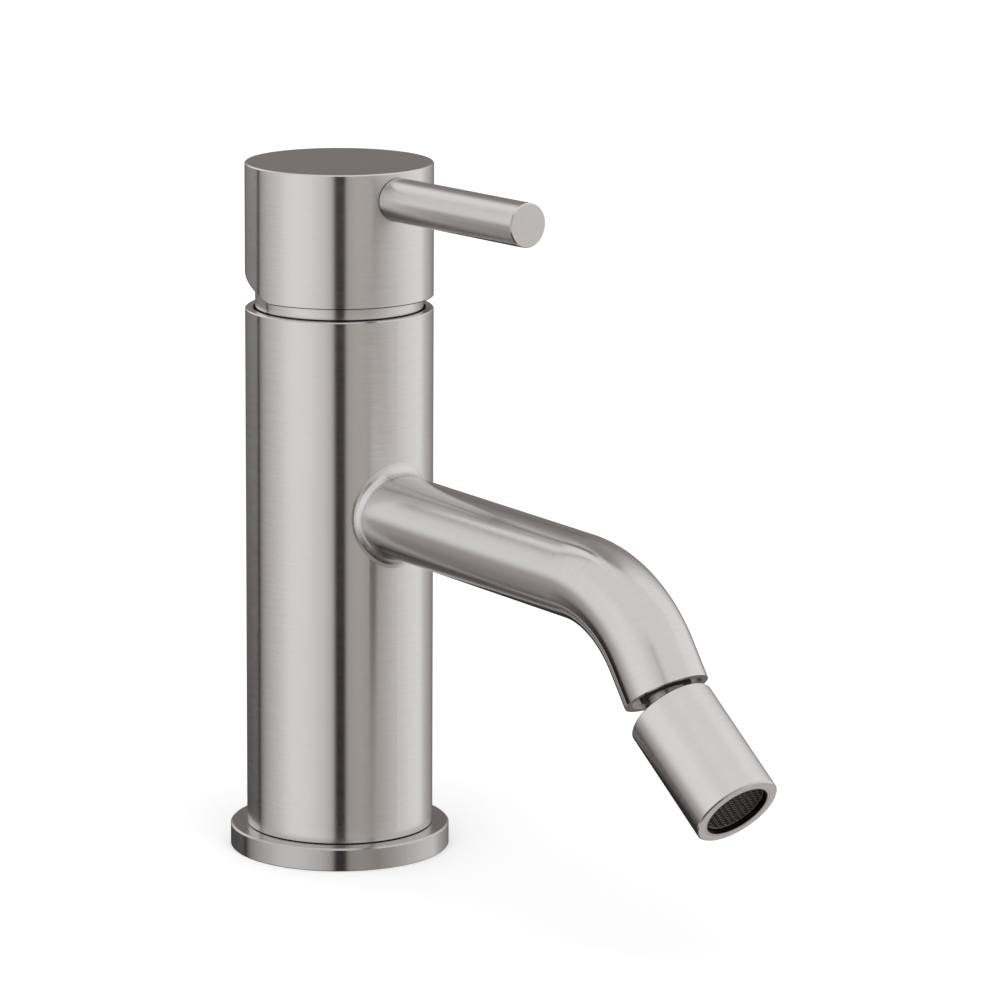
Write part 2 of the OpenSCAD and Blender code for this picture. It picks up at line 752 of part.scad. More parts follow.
// Threaded bush in the spout's end
module spout_bush() {
    color([0.72, 0.58, 0.3]) at_spout_end(-bush_recess - bush_l) difference() {
        cylinder(h = bush_l, r = spout_d / 2 - spout_wall - thread_gap);
        translate([0, 0, -cut]) cylinder(h = bush_l + 2 * cut, d = neck_stem_d + 2 * thread_gap);
    }
}

module stem_washer() {
    color([0.1, 0.1, 0.1]) at_spout_end(-bush_recess)
        ring(neck_stem_d / 2 + stem_washer_w, neck_stem_d / 2 + thread_gap, 0, stem_washer_h);
}

// Hollow ball on its threaded stem
module swivel_ball() {
    stem_l = bush_recess + bush_l + ball_drop;
    color([0.78, 0.77, 0.75]) at_spout_end(ball_drop) difference() {
        union() {
            sphere(r = ball_r);
            translate([0, 0, -stem_l]) cylinder(h = stem_l, d = neck_stem_d);
        }
        translate([0, 0, -stem_l - cut]) cylinder(h = stem_l + ball_d, d = ball_bore_d);
        translate([0, 0, ball_r - ball_mouth])
            cylinder(h = 2 * ball_mouth, d1 = ball_bore_d, d2 = ball_bore_d + 2 * ball_mouth);
    }
}

// Slip ring round the ball, cut from a spherical shell
liner_up = 66;
liner_down = 80;
module ball_liner() {
    color([0.92, 0.92, 0.9]) at_spout_end(ball_drop) intersection() {
        difference() {
            sphere(r = liner_out);
            sphere(r = liner_in);
        }
        translate([0, 0, -liner_out * cos(liner_up)])
            cylinder(h = liner_out * (cos(liner_up) + cos(liner_down)), r = liner_out + cut);
    }
}

// Nozzle, drawn with the ball's centre at the origin and the outlet along +Z
module nozzle_sleeve() {
    color([0.78, 0.77, 0.75]) at_nozzle() rotate_extrude() polygon([
        [nozzle_in, -nozzle_lead], [nozzle_r - edge, -nozzle_lead], [nozzle_r, -nozzle_lead + edge],
        [nozzle_r, nozzle_end - edge], [nozzle_r - edge, nozzle_end], [mouth_r, nozzle_end],
        [mouth_r, waist_to], [waist_r, waist_to], [waist_r, waist_from], [nozzle_in, waist_from]
    ]);
}

module ball_retainer() {
    color([0.76, 0.75, 0.73]) at_nozzle() difference() {
        translate([0, 0, -nozzle_lead + retainer_inset])
            cylinder(h = nozzle_lead - retainer_inset, r = nozzle_in - thread_gap);
        sphere(r = seat_r);
    }
}

module ball_seat() {
    color([0.9, 0.9, 0.88]) at_nozzle() difference() {
        translate([0, 0, side_gap]) cylinder(h = seat_end - side_gap, r = nozzle_in - thread_gap);
        sphere(r = seat_r);
        o_ring(seat_r * sin(seal_angle), 2 * seal_minor + 2 * side_gap, seat_r * cos(seal_angle));
        cylinder(h = seat_end + cut, r = seat_bore_r);
    }
}

module seat_seal() {
    color([0.1, 0.1, 0.1]) at_nozzle()
        o_ring((seat_r - side_gap) * sin(seal_angle), 2 * seal_minor, (seat_r - side_gap) * cos(seal_angle));
}

module aerator_washer() {
    color([0.1, 0.1, 0.1]) at_nozzle() ring(aerator_d / 2 - 2 * side_gap, waist_r, waist_to, washer_h);
}

// The aerator's threaded ring ends flush with the nozzle, with the screen inside it
module aerator_body() {
    body_l = aerator_l + screen_recess - thread_gap;
    color([0.7, 0.7, 0.7]) at_nozzle() difference() {
        translate([0, 0, aerator_from]) cylinder(h = body_l, d = aerator_d);
        translate([0, 0, aerator_from - cut]) cylinder(h = body_l + 2 * cut, r = screen_r + thread_gap);
    }
}

// Hexagonal cells on a triangular grid, inside a circle of radius r
module honeycomb(r, z, h) {
    n = ceil(r / cell_pitch) + 1;
    for (i = [-n:n], j = [-n:n]) {
        x = cell_pitch * (i + j / 2);
        y = cell_pitch * j * sin(60);
        if (norm([x, y]) < r - cell_pitch / 2) translate([x, y, z])
            rotate([0, 0, 30]) cylinder(h = h, d = (cell_pitch - cell_web) / cos(30), $fn = 6);
    }
}

module aerator_core() {
    color([0.85, 0.85, 0.85]) at_nozzle() difference() {
        translate([0, 0, aerator_from]) cylinder(h = core_l, r = screen_r);
        translate([0, 0, aerator_from + core_plate]) cylinder(h = core_l, r = screen_r - core_wall);
        honeycomb(screen_r - core_wall, aerator_from - cut, core_plate + 2 * cut);
    }
}

module outlet_screen() {
    color([0.55, 0.55, 0.55]) at_nozzle() difference() {
        translate([0, 0, aerator_end - screen_h]) cylinder(h = screen_h, r = screen_r);
        honeycomb(screen_r, aerator_end - screen_h - cut, screen_h + 2 * cut);
    }
}

base_flange();
base_seal();
flange_screws();
base_plug();
column_shell();
manifold_core();
manifold_seals();
neck_ring();
neck_seal();
clamp_nut();
cartridge_base();
port_seals();
fixed_disc();
cartridge_housing();
spout_tube();
spout_weld();
spout_bush();
stem_washer();
swivel_ball();
stem_carrier();
pivot_pin();
moving_disc();
disc_driver();
handle_cap();
lever_pin();
set_screw();
lever_stem();
ball_liner();
nozzle_sleeve();
ball_retainer();
ball_seat();
seat_seal();
aerator_washer();
aerator_body();
aerator_core();
outlet_screen();
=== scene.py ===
import math

import bpy
from mathutils import Matrix, Vector


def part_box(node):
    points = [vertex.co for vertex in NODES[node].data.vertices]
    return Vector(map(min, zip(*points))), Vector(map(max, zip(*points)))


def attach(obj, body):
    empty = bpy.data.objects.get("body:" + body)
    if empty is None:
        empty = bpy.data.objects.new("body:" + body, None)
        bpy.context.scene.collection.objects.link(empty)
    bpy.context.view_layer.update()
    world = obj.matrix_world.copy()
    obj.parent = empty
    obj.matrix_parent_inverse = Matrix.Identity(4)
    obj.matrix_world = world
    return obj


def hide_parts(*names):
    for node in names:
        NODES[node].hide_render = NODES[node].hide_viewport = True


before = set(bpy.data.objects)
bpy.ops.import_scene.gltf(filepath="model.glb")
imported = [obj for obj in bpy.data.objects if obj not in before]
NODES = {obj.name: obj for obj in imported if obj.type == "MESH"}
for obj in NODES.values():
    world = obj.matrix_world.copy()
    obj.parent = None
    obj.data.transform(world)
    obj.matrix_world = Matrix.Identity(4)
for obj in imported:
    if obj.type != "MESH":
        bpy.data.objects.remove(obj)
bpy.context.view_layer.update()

# Sizes that the frame gives, in metres
column_low, column_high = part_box("column_shell")
column_r = (column_high.x - column_low.x) / 2
rim_z = column_high.z
flange_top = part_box("base_flange")[1].z
cap_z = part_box("handle_cap")[0].z
lever_low, lever_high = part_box("lever_pin")
lever_z = (lever_low.z + lever_high.z) / 2

# The spout's path: a run that falls a little, a bend, and a straight end
SPOUT_Z = 0.0861
SPOUT_FALL = math.radians(2.2)
SPOUT_DIP = math.radians(55.5)
SPOUT_RUN = 0.090
BEND_R = 0.0318
SPOUT_END = 0.0093
BALL_DROP = 0.0072
NOZZLE_DIP = math.radians(38.6)


def front(along, height):
    """Point of the middle plane at a distance in front of the column's axis."""
    return Vector((0, -along, height))


def dipping(angle):
    """Unit vector to the front that dips below level by angle."""
    return front(math.cos(angle), -math.sin(angle))


bend_from = front(SPOUT_RUN, SPOUT_Z - SPOUT_RUN * math.tan(SPOUT_FALL))
bend_centre = bend_from - BEND_R * front(math.sin(SPOUT_FALL), math.cos(SPOUT_FALL))
bend_to = bend_centre + BEND_R * front(math.sin(SPOUT_DIP), math.cos(SPOUT_DIP))
spout_tip = bend_to + SPOUT_END * dipping(SPOUT_DIP)
ball_centre = spout_tip + BALL_DROP * dipping(SPOUT_DIP)

# Camera at the photograph's viewing angle
CAMERA_AZIMUTH = math.radians(37.462)
CAMERA_AWAY = 1.22789
CAMERA_Z = 0.34884
CAMERA_PAN = math.radians(1.7992)
CAMERA_TILT = math.radians(12.1184)
CAMERA_ROLL = math.radians(-0.3364)
CAMERA_LENS = 188.034
SENSOR = 36


def make_camera():
    data = bpy.data.cameras.new("photo_camera")
    data.lens = CAMERA_LENS
    data.sensor_width = SENSOR
    data.clip_end = 50
    camera = bpy.data.objects.new("photo_camera", data)
    bpy.context.scene.collection.objects.link(camera)
    heading = CAMERA_AZIMUTH + CAMERA_PAN
    ahead = Vector((math.sin(heading), math.cos(heading), 0))
    right = Vector((math.cos(heading), -math.sin(heading), 0))
    forward = ahead * math.cos(CAMERA_TILT) - Vector((0, 0, math.sin(CAMERA_TILT)))
    up = right.cross(forward)
    turned_right = right * math.cos(CAMERA_ROLL) - up * math.sin(CAMERA_ROLL)
    turned_up = right * math.sin(CAMERA_ROLL) + up * math.cos(CAMERA_ROLL)
    turn = Matrix((turned_right, turned_up, -forward)).transposed()
    camera.rotation_euler = turn.to_euler()
    camera.location = (
        -CAMERA_AWAY * math.sin(CAMERA_AZIMUTH),
        -CAMERA_AWAY * math.cos(CAMERA_AZIMUTH),
        CAMERA_Z,
    )
    bpy.context.scene.camera = camera


# Shader nodes
def node(tree, kind, inputs=None, **settings):
    made = tree.nodes.new(kind)
    for key, value in settings.items():
        setattr(made, key, value)
    for key, value in (inputs or {}).items():
        if isinstance(value, bpy.types.NodeSocket):
            tree.links.new(value, made.inputs[key])
        else:
            made.inputs[key].default_value = value
    return made


def number(tree, operation, *values):
    made = node(tree, "ShaderNodeMath", dict(enumerate(values)), operation=operation)
    return made.outputs[0]


def vector(tree, operation, *values, scale=None):
    inputs = dict(enumerate(values))
    if scale is not None:
        inputs["Scale"] = scale
    made = node(tree, "ShaderNodeVectorMath", inputs, operation=operation)
    return made.outputs["Value" if operation in ("DOT_PRODUCT", "LENGTH") else "Vector"]


def step(tree, value, start, end, low=0.0, high=1.0):
    """Smooth change from low to high as value goes from start to end."""
    made = node(
        tree,
        "ShaderNodeMapRange",
        {"Value": value, "From Min": start, "From Max": end, "To Min": low, "To Max": high},
        interpolation_type="SMOOTHSTEP",
    )
    return made.outputs["Result"]


def mixed(tree, factor, a, b):
    made = node(tree, "ShaderNodeMix", {"Factor": factor}, data_type="RGBA")
    for key, value in ((6, a), (7, b)):
        if isinstance(value, bpy.types.NodeSocket):
            tree.links.new(value, made.inputs[key])
        else:
            made.inputs[key].default_value = (*value, 1)
    return made.outputs[2]


def noise(tree, place, scale=1.0, detail=3.0):
    made = node(
        tree, "ShaderNodeTexNoise", {"Vector": place, "Scale": scale, "Detail": detail}
    )
    return made.outputs["Factor" if "Factor" in made.outputs else "Fac"]


def blank(name):
    """A new material with an empty node tree, and its Principled shader."""
    made = bpy.data.materials.new(name)
    made.use_nodes = True
    tree = made.node_tree
    tree.nodes.clear()
    shader = node(tree, "ShaderNodeBsdfPrincipled")
    out = node(tree, "ShaderNodeOutputMaterial")
    tree.links.new(shader.outputs["BSDF"], out.inputs["Surface"])
    return made, tree, shader


def join(tree, shader, **links):
    for key, value in links.items():
        tree.links.new(value, shader.inputs[key.replace("_", " ")])


# Studio
# Brightness of what stands round the object, by degrees from the camera's side: minus is on the
# picture's left. Wide softboxes leave a dark gap where the camera stands. BELOW is just under the
# horizon, ABOVE is over it and GROUND is far below it. The heights at which one passes into the
# next are sines of the angle over the horizon.
BELOW = (
    (-180, 0.11), (-140, 0.13), (-127, 0.155), (-121, 0.11), (-117, 0.0),
    (-113.5, 0.22), (-108, 0.34), (-100, 0.46), (-80, 0.71), (-70, 0.90),
    (-62, 0.98), (-50, 1.02), (-37, 0.99), (-22, 0.87), (-15, 0.73), (-9, 0.60), (-6.5, 0.38),
    (-4.5, 0.04), (-2, 0.0), (4, 0.0), (6, 0.05), (8.5, 0.36), (11, 0.45), (24, 0.46), (40, 0.38),
    (56, 0.51), (73, 0.71), (93, 0.90), (118, 0.98), (130, 0.58), (146, 0.36), (166, 0.20),
)
ABOVE = (
    (-180, 0.20), (-170, 0.22), (-161, 0.40), (-151, 0.92), (-143, 1.04), (-119, 1.04),
    (-117, 0.06), (-114.5, 0.06), (-112.5, 0.84), (-104, 0.94), (-80, 0.96), (-60, 1.02), (-40, 0.98),
    (-18, 0.82), (-10, 0.64), (-6, 0.14), (6, 0.14), (9, 0.55), (18, 0.75), (60, 0.92),
    (100, 1.04), (134, 1.02), (148, 0.72), (162, 0.30), (180, 0.20),
)
GROUND = (
    (-180, 0.04), (-150, 0.05), (-130, 0.08), (-118, 0.30), (-100, 0.60), (-70, 0.50), (-30, 0.06),
    (70, 0.06), (100, 0.40), (120, 0.62), (142, 0.56), (160, 0.20), (180, 0.04),
)
HORIZON = (-0.20, 0.10)
UNDERFOOT = (-0.36, -0.62)
# Low on the left behind the object it is almost black
DEEP = 0.012
DEEP_FROM = (-0.22, -0.28)
DEEP_LEFT = 0.5
DEEP_CORNER = (0.78, 0.90)
# Tints of the darker parts: just right of the camera the surroundings are warm
WARM = (1.11, 1.0, 0.82)
WARM_TO = 80
GREY = (1.115, 1.0, 0.965)
WHITE = (1.0, 1.0, 1.0)
# The light overhead leans to the camera's side, and only a share of it is seen behind the object
CEILING = 0.92
CEILING_FROM = (0.50, 0.70)
CEILING_LEAN = 1.5
CEILING_BEHIND = 0.18
BEHIND_FROM = (0.40, 0.65)
# Even light on surfaces that don't mirror
FILL = 0.74


def surround(tree, place, levels):
    """Ramp of brightness round the object, tinted in its darker parts."""
    ramp = node(tree, "ShaderNodeValToRGB", {"Fac": place})
    stops = ramp.color_ramp.elements
    while len(stops) > 1:
        stops.remove(stops[-1])
    stops[0].position = 0
    for index, (degrees, level) in enumerate(levels):
        stop = stops[0] if index == 0 else stops.new(degrees / 360 + 0.5)
        tint = WARM if 0 < degrees < WARM_TO else GREY
        light = min(level, 1)
        stop.color = (*(level * (t + (w - t) * light) for t, w in zip(tint, WHITE)), 1)
    return ramp.outputs["Color"]


def make_world():
    world = bpy.data.worlds.new("studio")
    bpy.context.scene.world = world
    world.cycles.sampling_method = "NONE"
    world.use_nodes = True
    tree = world.node_tree
    tree.nodes.clear()
    way = node(tree, "ShaderNodeTexCoord").outputs["Generated"]
    near = (-math.sin(CAMERA_AZIMUTH), -math.cos(CAMERA_AZIMUTH), 0)
    right = (math.cos(CAMERA_AZIMUTH), -math.sin(CAMERA_AZIMUTH), 0)
    angle = number(
        tree,
        "ARCTAN2",
        vector(tree, "DOT_PRODUCT", way, right),
        vector(tree, "DOT_PRODUCT", way, near),
    )
    place = number(tree, "MULTIPLY_ADD", angle, 0.5 / math.pi, 0.5)
    height = vector(tree, "DOT_PRODUCT", way, (0, 0, 1))
    sides = mixed(
        tree,
        step(tree, height, *HORIZON),
        surround(tree, place, BELOW),
        surround(tree, place, ABOVE),
    )
    behind = number(tree, "MAXIMUM", vector(tree, "DOT_PRODUCT", way, [-n for n in near]), 0.0)
    overhead = number(tree, "MULTIPLY_ADD", behind, -CEILING_LEAN, height)
    lamps = number(
        tree,
        "MAXIMUM",
        step(tree, overhead, *CEILING_FROM),
        step(tree, height, *BEHIND_FROM, 0.0, CEILING_BEHIND),
    )
    sides = mixed(tree, lamps, sides, [CEILING * w for w in WHITE])
    corner = vector(tree, "DOT_PRODUCT", way, [-n - r * DEEP_LEFT for n, r in zip(near, right)])
    deep = number(
        tree, "MULTIPLY", step(tree, height, *DEEP_FROM), step(tree, corner, *DEEP_CORNER)
    )
    sides = mixed(tree, deep, sides, [DEEP * c for c in GREY])
    ground = surround(tree, place, GROUND)
    around = mixed(tree, step(tree, height, *UNDERFOOT), sides, ground)
    rays = node(tree, "ShaderNodeLightPath").outputs
    studio = node(tree, "ShaderNodeBackground", {"Color": around, "Strength": 1})
    fill = node(tree, "ShaderNodeBackground", {"Color": (*WHITE, 1), "Strength": FILL})
    white = node(tree, "ShaderNodeBackground", {"Color": (*WHITE, 1), "Strength": 1})
    light = node(
        tree,
        "ShaderNodeMixShader",
        {0: rays["Is Glossy Ray"], 1: fill.outputs[0], 2: studio.outputs[0]},
    )
    seen = number(tree, "MAXIMUM", rays["Is Camera Ray"], rays["Is Transmission Ray"])
    whole = node(
        tree, "ShaderNodeMixShader", {0: seen, 1: light.outputs[0], 2: white.outputs[0]}
    )
    out = node(tree, "ShaderNodeOutputWorld")
    tree.links.new(whole.outputs[0], out.inputs["Surface"])


KEY_LIGHT = 0.32
KEY_SOFTNESS = math.radians(70)
KEY_TURN = (math.radians(28), math.radians(-18), 0)
FLOOR_R = 6
FLOOR_SIDES = 96
FLOOR_LIFT = 0.13
FLOOR_ROUGH = 0.9
FLOOR_MOTTLE = 3
FLOOR_PALE = (0.995, 0.995, 0.995)


def make_lamp_and_floor():
    data = bpy.data.lights.new("key_light", "SUN")
    data.energy = KEY_LIGHT * math.pi
    data.angle = KEY_SOFTNESS
    lamp = bpy.data.objects.new("key_light", data)
    lamp.rotation_euler = KEY_TURN
    lamp.visible_glossy = False
    bpy.context.scene.collection.objects.link(lamp)
    ring = [
        (FLOOR_R * math.cos(a), FLOOR_R * math.sin(a), 0)
        for a in (2 * math.pi * i / FLOOR_SIDES for i in range(FLOOR_SIDES))
    ]
    mesh = bpy.data.meshes.new("floor")
    mesh.from_pydata(ring, [], [list(range(FLOOR_SIDES))])
    floor = bpy.data.objects.new("floor", mesh)
    bpy.context.scene.collection.objects.link(floor)
    floor.visible_glossy = False
    made, tree, shader = blank("pale_floor")
    place = node(tree, "ShaderNodeTexCoord").outputs["Object"]
    tone = mixed(tree, noise(tree, place, FLOOR_MOTTLE), FLOOR_PALE, WHITE)
    rays = node(tree, "ShaderNodeLightPath").outputs
    lift = number(tree, "MULTIPLY", rays["Is Camera Ray"], FLOOR_LIFT)
    join(tree, shader, Base_Color=tone, Emission_Color=tone, Emission_Strength=lift)
    shader.inputs["Roughness"].default_value = FLOOR_ROUGH
    shader.inputs["Specular IOR Level"].default_value = 0.0
    mesh.materials.append(made)


# Finishes
STEEL = (0.664, 0.656, 0.651)
# Painted shade: near-black colour put into the steel along the joints between parts, where the gaps
# lie in shade
SEAM_SHADE_COLOUR = (0.035, 0.032, 0.030)
FLAT_ROUGH = 0.16
FLAT_FROM = (0.9, 0.96)
ACROSS = Vector((1, 0, 0))
# Brush lines: their scale across and along, and how far they change tone, roughness and height
GRAIN_FINE = 1 / 0.00024
GRAIN_LONG = 1 / 0.005
GRAIN_RANGE = (0.2, 0.8)
GRAIN_TONES = (0.92, 1.06)
GRAIN_ROUGH = 0.02
GRAIN_BUMP = 0.35
# Faint smudges from handling
SMUDGE = 1 / 0.014
SMUDGE_RANGE = (0.35, 0.65)
SMUDGE_TONE = 0.88
SMUDGE_SHARE = 0.05
SMUDGE_ROUGH = 0.005


def steel(new, tone, rough, grain_depth, stretch, grain_place, place, dark=None, flat=None):
    """Brushed steel. stretch is the way that highlights are drawn out, across the brush lines."""
    made, tree, shader = new
    fine = noise(tree, grain_place, 1.0, 4.0)
    cloud = noise(tree, place, SMUDGE, 2.0)
    low, high, smudged = (
        [c * tone * share for c in STEEL] for share in (*GRAIN_TONES, SMUDGE_TONE)
    )
    colour = mixed(tree, fine, low, high)
    colour = mixed(tree, step(tree, cloud, *SMUDGE_RANGE, 0.0, SMUDGE_SHARE), colour, smudged)
    # Painted shade: where dark is set, the colour goes to the seam colour along a joint or recess in
    # shade
    if dark is not None:
        colour = mixed(tree, dark, colour, SEAM_SHADE_COLOUR)
    roughness = number(
        tree,
        "ADD",
        step(tree, fine, *GRAIN_RANGE, rough - GRAIN_ROUGH, rough + GRAIN_ROUGH),
        step(tree, cloud, 0.3, 0.7, -SMUDGE_ROUGH, SMUDGE_ROUGH),
    )
    if flat is not None:
        roughness = number(tree, "MULTIPLY_ADD", flat, FLAT_ROUGH - rough, roughness)
    bump = node(
        tree,
        "ShaderNodeBump",
        {"Strength": GRAIN_BUMP, "Distance": grain_depth, "Height": fine},
    )
    join(tree, shader, Base_Color=colour, Roughness=roughness, Normal=bump.outputs["Normal"])
    if stretch is not None:
        join(tree, shader, Tangent=stretch)
        shader.inputs["Anisotropic"].default_value = 1.0
    shader.inputs["Metallic"].default_value = 1.0
    return made


def in_world(tree, way):
    made = node(
        tree,
        "ShaderNodeVectorTransform",
        {"Vector": way},
        vector_type="VECTOR",
        convert_from="OBJECT",
        convert_to="WORLD",
    )
    return made.outputs["Vector"]


def turned_steel(name, axis, centre, tone=1.0, rough=0.20, grain_depth=0.000010, seam_shades=()):
    """Steel brushed round an axis, and straight on faces that lie square to it.

    Each seam is (way, start, end): a line of painted shade, where the colour goes dark from start to
    end because the joint or recess there lies in shade. The way is a vector to measure along, "out"
    from the column's axis, or "radius" from the part's own.
    """
    new = blank(name)
    tree = new[1]
    place = node(tree, "ShaderNodeTexCoord").outputs["Object"]
    p = vector(tree, "SUBTRACT", place, centre)
    along = vector(tree, "DOT_PRODUCT", p, axis)
    out = vector(tree, "SUBTRACT", p, vector(tree, "SCALE", axis, scale=along))
    radius = vector(tree, "LENGTH", out)
    ring = in_world(tree, vector(tree, "CROSS_PRODUCT", axis, out))
    normal = node(tree, "ShaderNodeNewGeometry").outputs["Normal"]
    stretch = vector(tree, "CROSS_PRODUCT", ring, normal)
    facing = vector(tree, "DOT_PRODUCT", in_world(tree, axis), normal)
    flat = step(tree, number(tree, "ABSOLUTE", facing), *FLAT_FROM)
    round_share = number(tree, "SUBTRACT", 1.0, flat)
    stretch = vector(
        tree,
        "ADD",
        vector(tree, "SCALE", vector(tree, "NORMALIZE", stretch), scale=round_share),
        vector(tree, "SCALE", in_world(tree, ACROSS), scale=flat),
    )
    reach = number(tree, "MULTIPLY", number(tree, "ADD", along, radius), GRAIN_FINE)
    grain = vector(
        tree,
        "ADD",
        vector(tree, "SCALE", out, scale=GRAIN_LONG),
        vector(tree, "SCALE", axis, scale=reach),
    )
    # Painted shade: dark lines in the colour at the joints, where the gaps between parts lie in shade
    dark = None
    for way, start, end in seam_shades:
        if way == "out":
            value = vector(tree, "LENGTH", vector(tree, "MULTIPLY", place, (1, 1, 0)))
        elif way == "radius":
            value = radius
        else:
            value = vector(tree, "DOT_PRODUCT", place, way)
        line = step(tree, value, start, end)
        dark = line if dark is None else number(tree, "MAXIMUM", dark, line)
    return steel(new, tone, rough, grain_depth, stretch, grain, place, dark, flat)


def spout_steel(name, tone=1.0, rough=0.12, grain_depth=0.000003):
    """Steel brushed round the spout's bent axis."""
    new = blank(name)
    tree = new[1]
    place = node(tree, "ShaderNodeTexCoord").outputs["Object"]
    from_run, from_bend, arm = (
        vector(tree, "SUBTRACT", place, point) for point in (bend_from, bend_to, bend_centre)
    )
    run = vector(tree, "DOT_PRODUCT", from_run, dipping(SPOUT_FALL))
    tail = vector(tree, "DOT_PRODUCT", from_bend, dipping(SPOUT_DIP))
    ahead = vector(tree, "DOT_PRODUCT", arm, front(1, 0))
    height = vector(tree, "DOT_PRODUCT", arm, front(0, 1))
    turn = number(tree, "ARCTAN2", ahead, height)
    turn = node(
        tree, "ShaderNodeClamp", {"Value": turn, "Min": SPOUT_FALL, "Max": SPOUT_DIP}
    ).outputs[0]
    straight = number(
        tree, "ADD", number(tree, "MINIMUM", run, 0.0), number(tree, "MAXIMUM", tail, 0.0)
    )
    travel = number(tree, "ADD", number(tree, "MULTIPLY", turn, BEND_R), straight)
    way = node(
        tree,
        "ShaderNodeCombineXYZ",
        {
            "Y": number(tree, "MULTIPLY", number(tree, "COSINE", turn), -1.0),
            "Z": number(tree, "MULTIPLY", number(tree, "SINE", turn), -1.0),
        },
    ).outputs[0]
    rise = number(tree, "ADD", ahead, height)
    lines = node(
        tree,
        "ShaderNodeCombineXYZ",
        {
            "Y": number(tree, "MULTIPLY", travel, GRAIN_FINE),
            "Z": number(tree, "MULTIPLY", rise, GRAIN_LONG * 0.5),
        },
    ).outputs[0]
    sideways = vector(tree, "MULTIPLY", place, (1, 0, 0))
    grain = vector(tree, "ADD", vector(tree, "SCALE", sideways, scale=GRAIN_LONG), lines)
    return steel(new, tone, rough, grain_depth, in_world(tree, way), grain, place)


# Grain of cast, moulded and ground surfaces, with larger and fainter spots
PLAIN_GRAIN = 1 / 0.0006
PLAIN_BUMP = 0.3
PLAIN_ROUGH = 0.05
SPOTS = 1 / 0.009
SPOT_TONE = 0.82
SPOT_SHARE = 0.15


def plain(name, colour, rough, metal=0.0, grain=PLAIN_GRAIN, depth=0.00002, spread=0.12):
    """Cast, moulded or ground surface. spread is how far its grain goes from the colour."""
    made, tree, shader = blank(name)
    place = node(tree, "ShaderNodeTexCoord").outputs["Object"]
    fine = noise(tree, place, grain, 3.0)
    cloud = noise(tree, place, SPOTS, 2.0)
    low = [c * (1 - spread) for c in colour]
    high = [min(c * (1 + spread), 1) for c in colour]
    tone = mixed(tree, fine, low, high)
    spot = [c * SPOT_TONE for c in colour]
    tone = mixed(tree, step(tree, cloud, *SMUDGE_RANGE, 0.0, SPOT_SHARE), tone, spot)
    roughness = step(tree, fine, *GRAIN_RANGE, rough - PLAIN_ROUGH, rough + PLAIN_ROUGH)
    bump = node(
        tree, "ShaderNodeBump", {"Strength": PLAIN_BUMP, "Distance": depth, "Height": fine}
    )
    join(tree, shader, Base_Color=tone, Roughness=roughness, Normal=bump.outputs["Normal"])
    shader.inputs["Metallic"].default_value = metal
    return made


def dress(material, *names):
    for name in names:
        slots = NODES[name].material_slots
        if not slots:
            NODES[name].data.materials.append(material)
        for slot in slots:
            slot.material = material


# Woven wire screen that stands for the drilled one in the nozzle's mouth
MESH_PITCH = 0.0009
MESH_WIRE = 0.00015
MESH_COLOUR = (0.17, 0.157, 0.149)
WEAVE = 0.9 * MESH_WIRE
RIM_WIRE = 2 * MESH_WIRE
RIM_ROOM = 2.4 * MESH_WIRE
RIM_SIDES = 48
WIRE_SIDES = 6
STEPS_PER_PITCH = 4


def sweep(points, width, across, closed=False):
    """Vertices and faces of a round wire along points, with across at right angles to its run."""
    verts, faces = [], []
    count = len(points)
    for i, point in enumerate(points):
        before = points[i - 1] if i or closed else points[0]
        after = points[(i + 1) % count] if i < count - 1 or closed else points[-1]
        run = (after - before).normalized()
        side = (across - run * across.dot(run)).normalized()
        other = run.cross(side)
        for k in range(WIRE_SIDES):
            a = 2 * math.pi * k / WIRE_SIDES
            verts.append(point + width * (math.cos(a) * side + math.sin(a) * other))
    for i in range(count if closed else count - 1):
        low, high = i * WIRE_SIDES, (i + 1) % count * WIRE_SIDES
        for k in range(WIRE_SIDES):
            n = (k + 1) % WIRE_SIDES
            faces.append((low + k, low + n, high + n, high + k))
    if not closed:
        faces.append(tuple(range(WIRE_SIDES))[::-1])
        faces.append(tuple((count - 1) * WIRE_SIDES + k for k in range(WIRE_SIDES)))
    return verts, faces


def make_screen():
    """Two layers of wires that weave over and under each other, in a round rim."""
    points = [v.co for v in NODES["outlet_screen"].data.vertices]
    out = dipping(NOZZLE_DIP)
    reaches = [(point - ball_centre).dot(out) for point in points]
    radius = max(
        (point - ball_centre - out * reach).length for point, reach in zip(points, reaches)
    )
    middle = ball_centre + out * (max(reaches) - RIM_WIRE)
    side = ACROSS
    up = out.cross(side)
    room = radius - RIM_ROOM
    verts, faces = [], []

    def add(piece):
        base = len(verts)
        verts.extend(piece[0])
        faces.extend(tuple(base + i for i in face) for face in piece[1])

    rows = int(room / MESH_PITCH)
    for a, b, phase in ((side, up, 0), (up, side, 1)):
        for row in range(-rows, rows + 1):
            offset = row * MESH_PITCH
            half = math.sqrt(max(room * room - offset * offset, 0))
            steps = max(int(2 * half / MESH_PITCH * STEPS_PER_PITCH), 2)
            wire = []
            for i in range(steps + 1):
                place = -half + 2 * half * i / steps
                wave = math.cos(math.pi * (place / MESH_PITCH + row + phase))
                wire.append(middle + a * place + b * offset + out * wave * WEAVE)
            add(sweep(wire, MESH_WIRE, b))
    turns = [2 * math.pi * i / RIM_SIDES for i in range(RIM_SIDES)]
    rim = radius - RIM_WIRE
    ring = [middle + rim * (math.cos(t) * side + math.sin(t) * up) for t in turns]
    add(sweep(ring, RIM_WIRE, out, closed=True))
    mesh = bpy.data.meshes.new("woven_screen")
    mesh.from_pydata(verts, [], faces)
    for face in mesh.polygons:
        face.use_smooth = True
    piece = bpy.data.objects.new("woven_screen", mesh)
    bpy.context.scene.collection.objects.link(piece)
    mesh.materials.append(plain("dark_screen", MESH_COLOUR, 0.38, metal=1.0))
    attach(piece, "nozzle")
    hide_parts("outlet_screen")


